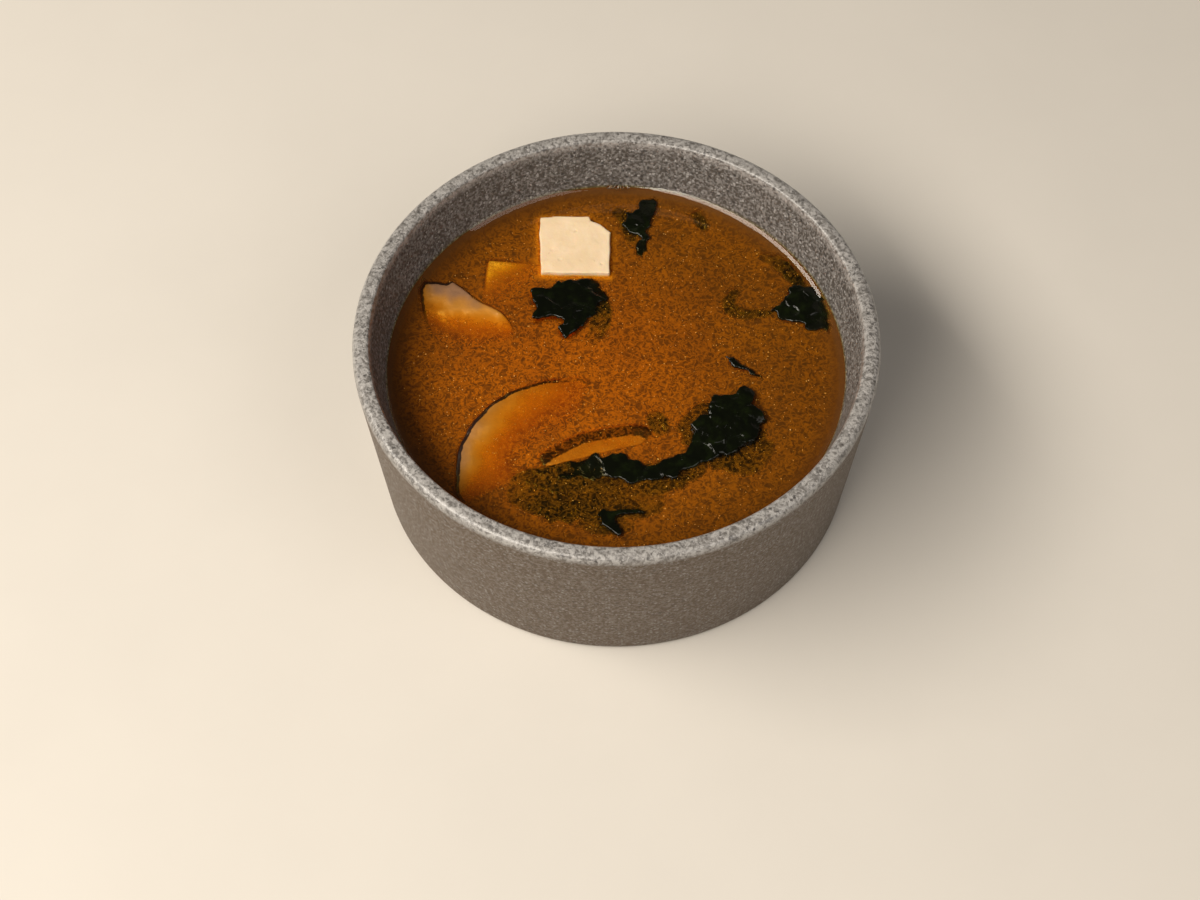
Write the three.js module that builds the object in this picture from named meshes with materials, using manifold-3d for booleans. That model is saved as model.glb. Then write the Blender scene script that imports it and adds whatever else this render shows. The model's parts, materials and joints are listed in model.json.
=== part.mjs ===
// A bowl of miso soup: a straight-sided stoneware bowl, the soup in it, and the tofu,
// mushroom slices and seaweed leaves that float at its surface.
// Millimetres, +Z up. The origin is the middle of the bowl's base, where it stands.
import * as THREE from "three";
import { mergeVertices } from "three/addons/utils/BufferGeometryUtils.js";
import Module from "manifold-3d";

// Bowl
const BOWL_HEIGHT = 51;
const RIM_RADIUS = 65; // outermost, at the rim
const BASE_RADIUS = 60.6; // where the side wall meets the base's rounded edge
const RIM_WIDTH = 4; // across the lip
const OUTER_LIP_ROUND = 2.2; // rounding of the lip's outer edge
const INNER_LIP_ROUND = 0.8; // and of its inner edge
const BASE_ROUND = 2; // rounding between base and side
const FOOT_WIDTH = 4.5; // ring that the bowl stands on
const FOOT_HEIGHT = 1.2; // how far the underside is set back
const FLOOR_TOP = 6; // inside floor above the table
const INNER_DRAFT = 0.24; // how much the inner wall narrows for each mm down
const FLOOR_ROUND = 15; // inside corner between wall and floor
const TURNS = 64; // sides of every turned solid

// Soup
const SOUP_LEVEL = 35;
const GAP = 0.3; // clearance between neighbouring solids

// Pieces in the soup
const TOFU_THICK = 12;
const TOFU_PROUD = 1; // above the soup
const TOFU_EDGE = 0.5; // rounding of the tofu's edges
const MUSHROOM_THICK = 4;
const LEAF_THICK = 0.9;
const LEAF_SUNK = 0.3; // how far the middle of a leaf's thickness lies under the surface
const LEAF_CURVE = 0.12; // how round a leaf's corners are, from 0 to 0.5
const SLICE_CURVE = 0.5; // and a mushroom slice's
const LEAF_CELL = 2.6; // spacing of the points on a leaf's surface
const OUTLINE_STEPS = 2; // points made between two corners of an outline

const wasm = await Module();
wasm.setup();

const stoneware = material(0x6f6a64, 0.6);
const broth = material(0x9a5a10, 0.15);
const curd = material(0xf3e2bf, 0.5);
const flesh = material(0xcfa98c, 0.5);
const seaweed = material(0x14210f, 0.2);

function material(color, roughness) {
  return new THREE.MeshStandardMaterial({ color, roughness, metalness: 0 });
}

function solidOf(geometry) {
  const bare = geometry.clone();
  bare.deleteAttribute("normal");
  bare.deleteAttribute("uv");
  const merged = mergeVertices(bare, 1e-4);
  return new wasm.Manifold(
    new wasm.Mesh({
      numProp: 3,
      vertProperties: merged.attributes.position.array,
      triVerts: new Uint32Array(merged.index.array),
    }),
  );
}

function geometryOf(solid) {
  const { vertProperties, triVerts } = solid.getMesh();
  const geometry = new THREE.BufferGeometry();
  geometry.setAttribute("position", new THREE.BufferAttribute(vertProperties, 3));
  geometry.setIndex(new THREE.BufferAttribute(triVerts, 1));
  geometry.computeVertexNormals();
  return geometry;
}

// A closed profile of (radius, height) points, turned about the Z axis.
function turned(profile) {
  return new THREE.LatheGeometry(profile, TURNS).rotateX(Math.PI / 2);
}

// The bowl's inside from the floor's middle up to `top`, moved in by `inset`.
function insideProfile(top, inset) {
  const lipRadius = RIM_RADIUS - RIM_WIDTH - inset * Math.hypot(1, INNER_DRAFT);
  const wallRadius = (z) => lipRadius - INNER_DRAFT * (BOWL_HEIGHT - z);
  const floor = FLOOR_TOP + inset;
  const path = new THREE.Path();
  path.moveTo(0, floor);
  path.lineTo(wallRadius(floor) - FLOOR_ROUND, floor);
  const bend = floor + FLOOR_ROUND;
  path.quadraticCurveTo(wallRadius(floor), floor, wallRadius(bend), bend);
  path.lineTo(wallRadius(top), top);
  return path.getPoints(4);
}

function makeBowl() {
  const lip = RIM_RADIUS - RIM_WIDTH;
  const inside = insideProfile(BOWL_HEIGHT - INNER_LIP_ROUND, 0).reverse();
  const path = new THREE.Path();
  path.moveTo(0, FOOT_HEIGHT);
  path.lineTo(BASE_RADIUS - BASE_ROUND - FOOT_WIDTH, FOOT_HEIGHT);
  path.lineTo(BASE_RADIUS - BASE_ROUND - FOOT_WIDTH + FOOT_HEIGHT, 0);
  path.lineTo(BASE_RADIUS - BASE_ROUND, 0);
  path.quadraticCurveTo(BASE_RADIUS, 0, BASE_RADIUS + 0.1, BASE_ROUND);
  path.lineTo(RIM_RADIUS, BOWL_HEIGHT - OUTER_LIP_ROUND);
  const shoulder = RIM_RADIUS - OUTER_LIP_ROUND;
  path.quadraticCurveTo(RIM_RADIUS, BOWL_HEIGHT, shoulder, BOWL_HEIGHT);
  path.lineTo(lip + INNER_LIP_ROUND, BOWL_HEIGHT);
  path.quadraticCurveTo(lip, BOWL_HEIGHT, inside[0].x, inside[0].y);
  return solidOf(turned([...path.getPoints(2), ...inside.slice(1)]));
}

// The room inside the bowl up to `top`, clear of it by `inset`.
function roomInside(top, inset) {
  const inside = insideProfile(top, inset);
  return solidOf(turned([...inside, new THREE.Vector2(0, top)]));
}

// A curve through the corners, as a list of points moved out by `grow`.
function outlineOf(corners, roundness, grow) {
  const flat = corners.map(([x, y]) => new THREE.Vector3(x, y, 0));
  const curve = new THREE.CatmullRomCurve3(flat, true, "catmullrom", roundness);
  const count = corners.length * OUTLINE_STEPS;
  const points = [];
  for (let i = 0; i < count; i++) points.push(curve.getPoint(i / count));
  if (THREE.ShapeUtils.isClockWise(points)) points.reverse();
  return points.map((p, i) => {
    const along = points[(i + 1) % count].clone().sub(points[(i + count - 1) % count]);
    along.normalize();
    return new THREE.Vector2(p.x + along.y * grow, p.y - along.x * grow);
  });
}

function prism(outline, low, high) {
  const geometry = new THREE.ExtrudeGeometry(new THREE.Shape(outline), {
    depth: high - low,
    bevelEnabled: false,
    steps: 1,
  });
  return solidOf(geometry.translate(0, 0, low));
}

// A sheet of even thickness whose middle runs at heightAt(x, y), as large as `box`, with
// points `cell` apart.
function sheet(box, heightAt, thick, cell) {
  const size = box.getSize(new THREE.Vector2());
  const across = Math.max(1, Math.ceil(size.x / cell));
  const along = Math.max(1, Math.ceil(size.y / cell));
  const slab = new THREE.BoxGeometry(size.x, size.y, thick, across, along, 1);
  slab.translate((box.min.x + box.max.x) / 2, (box.min.y + box.max.y) / 2, 0);
  const at = slab.attributes.position;
  for (let i = 0; i < at.count; i++)
    at.setZ(i, at.getZ(i) + heightAt(at.getX(i), at.getY(i)));
  return solidOf(slab);
}

// A leaf or slice: the part of a bent sheet that lies inside an outline.
function cutFromSheet({ corners, heightAt, thick, cell, roundness }, grow = 0) {
  const outline = outlineOf(corners, roundness, grow);
  const box = new THREE.Box2().setFromPoints(outline).expandByScalar(1);
  const reach = 40;
  const cutter = prism(outline, SOUP_LEVEL - reach, SOUP_LEVEL + reach);
  return sheet(box, heightAt, thick + 2 * grow, cell).intersect(cutter);
}

// Height of a plane that rises by `slope` for each mm towards `facing` (degrees), and
// meets the soup's surface on the line through (x, y).
function ramp(x, y, facing, slope) {
  const turn = THREE.MathUtils.degToRad(facing);
  const [c, s] = [Math.cos(turn), Math.sin(turn)];
  return (px, py) => SOUP_LEVEL + slope * ((px - x) * c + (py - y) * s);
}

// A slice's top that crosses the surface on the line through (x, y): beyond it, towards
// `facing`, the top rises by `rise` for each mm, and before it it falls by `fall`.
function halfSunk(x, y, facing, rise, fall) {
  const level = ramp(x, y, facing, 1);
  return (px, py) => {
    const along = level(px, py) - SOUP_LEVEL;
    return SOUP_LEVEL + along * (along > 0 ? rise : fall);
  };
}

// A ramp with creases of `rise` mm on it, `pitch` mm apart, and a hump at (hx, hy).
function crumpled(base, rise, pitch, hump) {
  return (x, y) => {
    const crease = Math.sin(x / pitch + 1.3 * Math.sin(y / pitch));
    const away = Math.hypot(x - hump.x, y - hump.y) / hump.reach;
    const level = base(x, y) - LEAF_SUNK;
    return level + rise * crease + hump.height * Math.exp(-away * away);
  };
}

function lowered(base, drop) {
  return (x, y) => base(x, y) - drop;
}

function tofuSolid(grow = 0) {
  const top = SOUP_LEVEL + TOFU_PROUD;
  const corners = [
    [-19.7, 29.5], [-2.0, 29.6], [-1.8, 42.6], [-4.4, 45.4],
    [-7.0, 46.4], [-7.4, 48.0], [-20.3, 47.6],
  ];
  const shape = new THREE.Shape(corners.map(([x, y]) => new THREE.Vector2(x, y)));
  const block = new THREE.ExtrudeGeometry(shape, {
    depth: TOFU_THICK - 2 * TOFU_EDGE,
    bevelThickness: TOFU_EDGE + grow,
    bevelSize: grow,
    bevelOffset: 0,
    bevelSegments: 1,
    steps: 1,
  });
  return solidOf(block.translate(0, 0, top - TOFU_THICK + TOFU_EDGE));
}

// A piece of a round mushroom cap that lies upside down, with its rim at the surface.
const CAP = {
  x: -12,
  y: -29.5,
  rim: 27, // radius of the rim
  inner: 10, // radius where the piece ends, out of sight
  from: 78, // the rim's two ends, in degrees
  to: 202,
  high: 168, // where the rim comes nearest the surface, in degrees
  dish: 2.6, // how much deeper the inner edge lies than the rim
  lean: 0.06, // how fast the cap sinks away from its highest point
  proud: 0.15,
};

// The outline of part of a ring, anticlockwise.
function ringCorners({ x, y, rim, inner, from, to }) {
  const steps = 8;
  const corners = [];
  const add = (radius, degrees) => {
    const turn = THREE.MathUtils.degToRad(degrees);
    corners.push([x + radius * Math.cos(turn), y + radius * Math.sin(turn)]);
  };
  for (let i = 0; i <= steps; i++) add(rim, from + ((to - from) * i) / steps);
  for (let i = steps - 1; i > 0; i--) add(inner, from + ((to - from) * i) / steps);
  return corners;
}

function capHeight(px, py) {
  const [dx, dy] = [px - CAP.x, py - CAP.y];
  const turn = THREE.MathUtils.degToRad(CAP.high);
  const inward = (CAP.rim - Math.hypot(dx, dy)) / (CAP.rim - CAP.inner);
  const sunk = CAP.lean * (CAP.rim - dx * Math.cos(turn) - dy * Math.sin(turn));
  const top = SOUP_LEVEL + CAP.proud - CAP.dish * inward * inward - sunk;
  return top - MUSHROOM_THICK / 2;
}

const SLICES = {
  mushroom_left: {
    corners: [
      [-49.8, 26.6], [-43.6, 26.2], [-42.8, 27.2], [-39.6, 24.6], [-35.8, 21.2],
      [-32.8, 19.6], [-28.6, 16.6], [-26, 12], [-30, 7], [-38, 4.6],
      [-44.5, 6.5], [-48, 13], [-50, 20],
    ],
    heightAt: lowered(halfSunk(-40, 18.5, 72, 0.08, 0.3), MUSHROOM_THICK / 2),
    thick: MUSHROOM_THICK,
    cell: 2 * LEAF_CELL,
    roundness: SLICE_CURVE,
  },
  mushroom_front: {
    corners: ringCorners(CAP),
    heightAt: capHeight,
    thick: MUSHROOM_THICK,
    cell: 2 * LEAF_CELL,
    roundness: SLICE_CURVE,
  },
  mushroom_middle: {
    corners: [
      [-19, -26], [-14, -21.8], [-8, -18.6], [-1, -16.8], [5, -16.3], [9.5, -18],
      [6, -22], [0, -23.6], [-8, -26.2], [-15, -30],
    ],
    heightAt: lowered(ramp(-2, -28.5, -75, 0.06), MUSHROOM_THICK / 2 + 0.4),
    thick: MUSHROOM_THICK,
    cell: Infinity,
    roundness: SLICE_CURVE,
  },
  wakame_tofu: {
    corners: [
      [-21.8, 22.6], [-20.4, 15.4], [-16.6, 14.4], [-14.3, 15], [-12.6, 10],
      [-10.4, 11.6], [-7, 15.4], [-4.4, 18.4], [-2.6, 24], [-4.6, 27.4],
      [-12, 28], [-16.4, 26],
    ],
    heightAt: crumpled(ramp(-6, 22, 200, 0.1), 0.25, 1.9, {
      x: -13, y: 17, reach: 6, height: 0.5,
    }),
    thick: LEAF_THICK,
    cell: LEAF_CELL,
    roundness: LEAF_CURVE,
  },
  wakame_right: {
    corners: [
      [47.2, 27], [43.2, 25], [41.2, 21.6], [39.4, 19], [44.2, 16.4], [50, 13.6],
      [54, 12.6], [53.6, 17], [52.6, 22], [50.2, 25.6],
    ],
    heightAt: crumpled(ramp(43, 18, 60, 0.1), 0.2, 1.8, {
      x: 47.5, y: 22, reach: 5, height: 0.4,
    }),
    thick: LEAF_THICK,
    cell: LEAF_CELL,
    roundness: LEAF_CURVE,
  },
  wakame_back: {
    corners: [
      [9.4, 54.4], [6.8, 52.8], [4.8, 50.4], [2, 49.6], [2.2, 46], [3.4, 43.4],
      [5.2, 42], [5.8, 38], [6.6, 34.2], [7.2, 37], [7.8, 42], [8.8, 46],
      [9.4, 49.6], [10.2, 52.6],
    ],
    heightAt: crumpled(ramp(6, 45, 90, 0.05), 0.15, 1.8, {
      x: 6, y: 48, reach: 4, height: 0.3,
    }),
    thick: LEAF_THICK,
    cell: LEAF_CELL,
    roundness: LEAF_CURVE,
  },
  wakame_sliver: {
    corners: [
      [27.2, 5.8], [28.3, 2.6], [29.6, 1.9], [33, 0], [37.8, -2.6], [34, 0.6],
      [30.6, 2.9], [28.8, 4],
    ],
    heightAt: crumpled(ramp(33, 0, 135, 0.06), 0.1, 2, {
      x: 29, y: 3, reach: 2, height: 0.4,
    }),
    thick: LEAF_THICK,
    cell: LEAF_CELL,
    roundness: LEAF_CURVE,
  },
  wakame_front: {
    corners: [
      [-4.4, -43.4], [-3.2, -46.6], [0.8, -48.8], [1.2, -47], [-0.4, -45.4],
      [0.6, -43.2], [4, -42.2], [7.4, -41.6], [3, -40.6], [-1.4, -41.8],
    ],
    heightAt: crumpled(ramp(3, -43, 200, 0.1), 0.1, 2, {
      x: -2, y: -45, reach: 3, height: 0.3,
    }),
    thick: LEAF_THICK,
    cell: LEAF_CELL,
    roundness: LEAF_CURVE,
  },
};

// The largest leaf: a folded clump with a long strap that trails away and sinks.
const CLUMP = {
  corners: [
    [31.6, -5.4], [29.4, -7.6], [26, -8.8], [24, -10.6], [21.6, -14], [19.2, -17],
    [20, -22], [24, -25.6], [30, -24.8], [33, -22], [35.2, -19], [36.8, -15.4],
    [35, -12], [33.6, -10], [34.6, -8],
  ],
  heightAt: crumpled(ramp(36, -24, 120, 0.02), 0.35, 1.6, {
    x: 27.5, y: -13.5, reach: 8, height: 1.3,
  }),
  thick: 2,
  cell: LEAF_CELL,
  roundness: LEAF_CURVE,
};
const STRAP = {
  corners: [
    [24, -20], [20, -22.2], [16, -25], [12, -27], [7, -28.2], [3.4, -27.4],
    [1.4, -25.4], [-1, -25], [-5, -25.7], [-9, -26.8], [-14, -28], [-20, -29.6],
    [-23, -34], [-18, -35.4], [-13, -32.6], [-8, -32], [-2, -32.2], [4, -33],
    [10, -32.4], [15, -31], [20, -28.6], [26, -25],
  ],
  heightAt: crumpled(ramp(8, -30, 5, 0.045), 0.2, 1.9, {
    x: -1, y: -27, reach: 4, height: 0.6,
  }),
  thick: 1,
  cell: LEAF_CELL,
  roundness: LEAF_CURVE,
};

function wakameStrap(grow = 0) {
  return cutFromSheet(CLUMP, grow).add(cutFromSheet(STRAP, grow));
}

const part = new THREE.Group();

function addPiece(name, solid, look) {
  const mesh = new THREE.Mesh(geometryOf(solid), look);
  mesh.name = name;
  part.add(mesh);
}

// Each later piece is cut clear of the bowl and the earlier ones, and the soup of them all.
const makers = [["tofu", tofuSolid, curd]];
makers.push(["wakame_strap", wakameStrap, seaweed]);
for (const [name, slice] of Object.entries(SLICES)) {
  const look = name.startsWith("wakame") ? seaweed : flesh;
  makers.push([name, (grow) => cutFromSheet(slice, grow), look]);
}

const room = roomInside(BOWL_HEIGHT - INNER_LIP_ROUND, GAP);
let soupSolid = roomInside(SOUP_LEVEL, GAP);
makers.forEach(([name, make, look], i) => {
  let solid = make(0).intersect(room);
  for (const [, makeEarlier] of makers.slice(0, i))
    solid = solid.subtract(makeEarlier(GAP));
  addPiece(name, solid, look);
  soupSolid = soupSolid.subtract(make(GAP));
});
addPiece("bowl", makeBowl(), stoneware);
addPiece("soup", soupSolid, broth);

export default part;
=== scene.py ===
"""Miso soup in a speckled stoneware bowl, with tofu, mushroom slices and seaweed."""

import json
import math
import random

import bpy
from bpy.props import FloatProperty, FloatVectorProperty, IntProperty, PointerProperty
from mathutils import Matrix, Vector, noise
from mathutils.bvhtree import BVHTree
from mathutils.kdtree import KDTree

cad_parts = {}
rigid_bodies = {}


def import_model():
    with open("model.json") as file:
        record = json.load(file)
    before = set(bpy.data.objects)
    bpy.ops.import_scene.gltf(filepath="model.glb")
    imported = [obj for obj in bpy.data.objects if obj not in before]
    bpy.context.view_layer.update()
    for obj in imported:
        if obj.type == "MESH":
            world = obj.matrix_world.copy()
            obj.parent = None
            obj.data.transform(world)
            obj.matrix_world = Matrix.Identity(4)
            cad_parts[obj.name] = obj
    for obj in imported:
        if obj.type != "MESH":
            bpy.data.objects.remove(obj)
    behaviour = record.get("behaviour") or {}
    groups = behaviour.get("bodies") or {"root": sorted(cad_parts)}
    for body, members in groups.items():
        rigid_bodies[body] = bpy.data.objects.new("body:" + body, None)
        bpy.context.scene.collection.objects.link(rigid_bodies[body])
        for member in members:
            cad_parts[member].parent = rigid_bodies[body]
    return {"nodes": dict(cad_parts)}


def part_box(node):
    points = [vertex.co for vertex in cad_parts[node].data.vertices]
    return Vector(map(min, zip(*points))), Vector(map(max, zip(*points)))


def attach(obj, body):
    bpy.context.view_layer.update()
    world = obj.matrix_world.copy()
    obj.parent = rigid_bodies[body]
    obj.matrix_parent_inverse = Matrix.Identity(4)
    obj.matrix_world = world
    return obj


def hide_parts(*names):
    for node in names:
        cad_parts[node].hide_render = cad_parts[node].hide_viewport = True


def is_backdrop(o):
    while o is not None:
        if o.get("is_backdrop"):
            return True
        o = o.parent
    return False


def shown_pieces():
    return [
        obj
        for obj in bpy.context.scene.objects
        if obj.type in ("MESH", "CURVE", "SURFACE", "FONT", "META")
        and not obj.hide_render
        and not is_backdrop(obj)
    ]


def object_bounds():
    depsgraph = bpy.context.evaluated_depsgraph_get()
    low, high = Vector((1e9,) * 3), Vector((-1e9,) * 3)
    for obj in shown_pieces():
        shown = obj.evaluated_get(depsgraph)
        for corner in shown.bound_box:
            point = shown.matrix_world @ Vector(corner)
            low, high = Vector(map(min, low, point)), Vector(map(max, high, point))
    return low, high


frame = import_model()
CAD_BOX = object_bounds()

bl_info = {
    "name": "Miso Soup",
    "version": (1, 0, 0),
    "blender": (4, 5, 0),
    "location": "3D View > Sidebar > Miso Soup",
    "description": "Makes a bowl of miso soup round its packed solids",
    "category": "Add Mesh",
}

MM = 0.001
RIM_RADIUS = CAD_BOX[1].x
BOWL_HEIGHT = CAD_BOX[1].z
SOUP_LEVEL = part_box("soup")[1].z
FLOOR_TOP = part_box("soup")[0].z
INTO_WALL = 0.15 * MM  # how far the soup reaches into the bowl, so that no gap shows
LARGE_PORE_DEPTH = 0.2 * MM
LEAF_THICKNESS = 0.4 * MM
BUBBLE_CLEARANCE = 0.6 * MM  # from the wall to a bubble's middle
FLECK_RADIUS = 0.09 * MM
FLECK_CLEARANCE = 1.5 * MM
FLOOR_RADIUS = 1.6

# Lengths in these tables are in millimetres.

# The sunk tofu: its middle, with the depth below the soup's surface, its size and its tilt in
# degrees.
SUNK_TOFU = ((-26.8, 26.5, -8.7), (16, 17, 12), (8, 8, -3))

# The floating tofu's larger pores: x, y and radius.
PORES = (
    (-14.8, 33.7, 0.45), (-9.3, 33.6, 0.4), (-4, 32.5, 0.4), (-11, 43, 0.35), (-17, 37, 0.35),
)

# Mushroom slices: a place (x, y) on the inner side of their curve, the widths of the skin and
# of the darker rind beside it, and the seed of their unevenness.
SLICES = {
    "mushroom_left": ((-20, 8), 1.0, 4.0, 3),
    "mushroom_front": ((-12, -29.5), 1.3, 4.2, 5),
    "mushroom_middle": ((2, -60), 4.2, 9, 8),
}

# Ends of slices that sink out of sight: x, y, reach and depth.
SUNK_ENDS = {
    "mushroom_left": ((-27, 7, 7.5, 1.3),),
    "mushroom_front": ((-33, -39, 6, 1.6), (-7, -6, 6, 0.7)),
}

# Sunk leaves: points (x, y, depth) along the middle, and the width.
SUNK_LEAVES = {
    "leaf_under_strap": (((-26, -34, 1.9), (-16, -36.5, 1.1), (-6, -37.5, 1.1), (12, -38, 2)), 15),
    "leaf_beside_tofu": (((-5, 24, 0.9), (-3.6, 18, 1), (-5, 12, 1.8), (-8, 7, 3.4)), 5),
    "leaf_by_wall": (((37, 37, 2.6), (42, 34, 1.2), (46, 29, 1), (48, 25, 1.4)), 3.8),
    "leaf_curl": (((31, 26, 2), (28.5, 21, 1.1), (32, 18, 1.3), (40, 18.5, 1.5)), 3.4),
    "leaf_back": (((-1, 52, 2.2), (1.5, 49, 1.2), (3, 45, 1.4), (4, 40, 2.2)), 4),
    "leaf_scrap_back": (((20, 51, 2), (21.5, 48, 1), (23, 45, 1.2)), 3.2),
    "leaf_scrap_middle": (((9, -12, 2.2), (10.5, -15.5, 1.2), (12, -19, 2)), 5),
    "leaf_under_clump": (((18, -12, 1.9), (27, -20, 1.1), (37, -27, 1.9)), 17),
    "leaf_under_end": (((-23, -31, 1.7), (-18, -32, 1.1), (-12, -34, 1.1), (-6, -35, 1.4)), 6),
    "leaf_under_neck": (((0, -34, 1.7), (10, -32, 1.2), (22, -27, 1.7)), 9),
    "leaf_under_left": (((-18, -31, 1.5), (-8, -31, 1.2), (4, -31, 1.4)), 7),
    "leaf_in_front": (((-9, -44, 2.2), (-3, -46, 1.3), (5, -45, 2.2)), 4),
}

# Bubbles at the wall: degrees round from +X, and radius.
BUBBLES = ((92.5, 0.5), (91.4, 0.35), (90.3, 0.55), (88.8, 0.4), (87.2, 0.3))


# ---------------------------------------------------------------- settings


def length(name, text, default):
    """A setting in metres."""
    return FloatProperty(name=name, description=text, default=default, unit="LENGTH", precision=5)


def colour(name, text, default):
    """A setting that is a linear RGB colour."""
    return FloatVectorProperty(
        name=name, description=text, default=default, subtype="COLOR", min=0, max=1
    )


class BowlSettings(bpy.types.PropertyGroup):
    """The bowl's section and colours"""

    base_radius: length("Base radius", "Where the side meets the base", 0.0606)
    lip_width: length("Lip width", "Thickness of the wall at the lip", 0.004)
    outer_round: length("Outer rounding", "Rounding of the lip's outer edge", 0.0022)
    inner_round: length("Inner rounding", "Rounding of the lip's inner edge", 0.0008)
    base_round: length("Base rounding", "Rounding between base and side", 0.002)
    foot_width: length("Foot width", "Width of the ring the bowl stands on", 0.0045)
    foot_height: length("Foot height", "How far the underside is set back", 0.0012)
    inner_draft: FloatProperty(
        name="Inner draft", description="Narrowing of the inside for each metre down", default=0.24
    )
    floor_round: length("Floor rounding", "Inside corner between wall and floor", 0.015)
    clay: colour("Clay", "The stoneware's own colour", (0.072, 0.062, 0.053))
    light_grain: colour("Light grain", "The pale grains in it", (0.43, 0.41, 0.39))
    dark_grain: colour("Dark grain", "The dark grains in it", (0.022, 0.019, 0.018))


class SoupSettings(bpy.types.PropertyGroup):
    """The layers of the soup and their colours"""

    meniscus: length("Meniscus", "How high the soup climbs the wall", 0.0024)
    meniscus_reach: length("Meniscus reach", "How far the climb reaches inwards", 0.0019)
    haze_depth: length("Haze depth", "Clear soup above the miso haze", 0.0006)
    haze_thick: length("Haze thickness", "From the haze's top to its underside", 0.0002)
    settled_depth: length("Settled depth", "Depth at which nothing is seen", 0.0036)
    sight: length("Sight", "Depth at which a piece fades from sight", 0.0017)
    glow_reach: length("Glow reach", "How far the tofu lights the miso beside it", 0.0012)
    blur: length("Blur", "Softness of a sunk piece's outline", 0.0004)
    amber: colour("Amber", "Colour of the clear soup", (0.96, 0.81, 0.0))
    strength: FloatProperty(
        name="Strength", description="How fast the clear soup darkens", default=1500.0
    )
    bright_miso: colour("Bright miso", "The lighter threads of miso", (0.43, 0.138, 0.001))
    # Middle of the painted shade: the soup is painted darker away from this spot.
    bright_spot: FloatVectorProperty(
        name="Bright spot", description="Where the soup is brightest", default=(-0.013, -0.006, 0)
    )
    olive: colour("Olive", "The threads of miso over seaweed", (0.2, 0.125, 0.015))
    dark_miso: colour("Dark miso", "The gaps between the threads", (0.085, 0.02, 0.0004))


class PieceSettings(bpy.types.PropertyGroup):
    """What lies in the soup"""

    curd: colour("Curd", "Colour of the tofu", (0.78, 0.615, 0.42))
    flesh: colour("Flesh", "Colour of the mushroom's flesh", (0.46, 0.19, 0.02))
    rind: colour("Rind", "Its colour just inside the skin", (0.27, 0.14, 0.07))
    skin: colour("Skin", "Colour of the mushroom's skin", (0.018, 0.0065, 0.003))
    leaf: colour("Leaf", "Colour of the seaweed", (0.0035, 0.0045, 0.0015))
    fleck_count: IntProperty(name="Flecks", description="Pale flecks in the soup", default=1500)


class StudioSettings(bpy.types.PropertyGroup):
    """The camera, the floor and the light"""

    camera_place: FloatVectorProperty(
        name="Camera place", description="Where the camera stands", default=(0, -0.35306, 0.54575)
    )
    camera_aim: FloatVectorProperty(
        name="Camera aim", description="The point it looks at", default=(-0.00402, -0.00155, 0)
    )
    lens: FloatProperty(name="Lens", description="Focal length in millimetres", default=74.1)
    floor: colour("Floor", "Colour of the floor", (0.66, 0.62, 0.56))
    key_power: FloatProperty(name="Key power", description="Power of the key light", default=20)


# ---------------------------------------------------------------- modelling


def deselect():
    """Leaves edit mode and selects nothing, because an operator acts on all that is selected."""
    if bpy.context.mode != "OBJECT":
        bpy.ops.object.mode_set(mode="OBJECT")
    bpy.ops.object.select_all(action="DESELECT")


def choose(obj):
    """Selects one object and makes it the active one."""
    deselect()
    obj.select_set(True)
    bpy.context.view_layer.objects.active = obj


def apply(obj, kind, **values):
    """Adds a modifier with those values and applies it."""
    choose(obj)
    modifier = obj.modifiers.new(kind.title(), kind)
    for key, value in values.items():
        setattr(modifier, key, value)
    bpy.ops.object.modifier_apply(modifier=modifier.name)


def settle(obj, name, material, slot, *replaced, in_soup=False):
    """Names a finished piece, moves its place into its mesh and fixes it to the body. A piece
    in the soup is marked, so that the haze can show it."""
    choose(obj)
    bpy.ops.object.transform_apply(location=True, rotation=True, scale=True)
    obj.name = obj.data.name = name
    obj.data.materials.clear()
    obj.data.materials.append(material)
    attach(obj, "root")
    if replaced:
        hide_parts(*replaced)
    if in_soup:
        obj["in_soup"] = True


def bend(start, corner, end, steps=6):
    """Points on a rounded corner, both ends included."""
    start, corner, end = Vector(start), Vector(corner), Vector(end)
    points = []
    for i in range(steps + 1):
        t = i / steps
        points.append(tuple((1 - t) ** 2 * start + 2 * t * (1 - t) * corner + t * t * end))
    return points


def turned(profile, sides=192):
    """A closed solid turned from (radius, height) points, from its underside's edge to its
    top's middle: a disc extruded ring by ring, as on a potter's wheel."""
    deselect()
    (radius, height), *rest = profile
    bpy.ops.mesh.primitive_circle_add(
        vertices=sides, radius=radius, fill_type="NGON", location=(0, 0, height)
    )
    obj = bpy.context.object
    bpy.ops.object.mode_set(mode="EDIT")
    bpy.ops.mesh.select_all(action="SELECT")
    for next_radius, next_height in rest:
        grow = next_radius / radius
        bpy.ops.mesh.extrude_region_move(
            TRANSFORM_OT_translate={"value": (0, 0, next_height - height)}
        )
        bpy.ops.transform.resize(value=(grow, grow, 1), center_override=(0, 0, height))
        radius, height = next_radius, next_height
    bpy.ops.mesh.select_all(action="SELECT")
    bpy.ops.mesh.normals_make_consistent(inside=False)
    bpy.ops.object.mode_set(mode="OBJECT")
    bpy.ops.object.transform_apply(location=True)
    bpy.ops.object.shade_smooth_by_angle(angle=math.radians(40))
    return obj


def from_cad(node, voxel):
    """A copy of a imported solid, remeshed evenly so that it can be shaped."""
    obj = bpy.data.objects.new(node + "_piece", frame["nodes"][node].data.copy())
    bpy.context.scene.collection.objects.link(obj)
    choose(obj)
    bpy.ops.object.mode_set(mode="EDIT")
    bpy.ops.mesh.select_all(action="SELECT")
    bpy.ops.mesh.remove_doubles(threshold=1e-6)
    bpy.ops.object.mode_set(mode="OBJECT")
    apply(obj, "REMESH", mode="VOXEL", voxel_size=voxel, use_smooth_shade=True)
    drop_crumbs(obj)
    return obj


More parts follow.
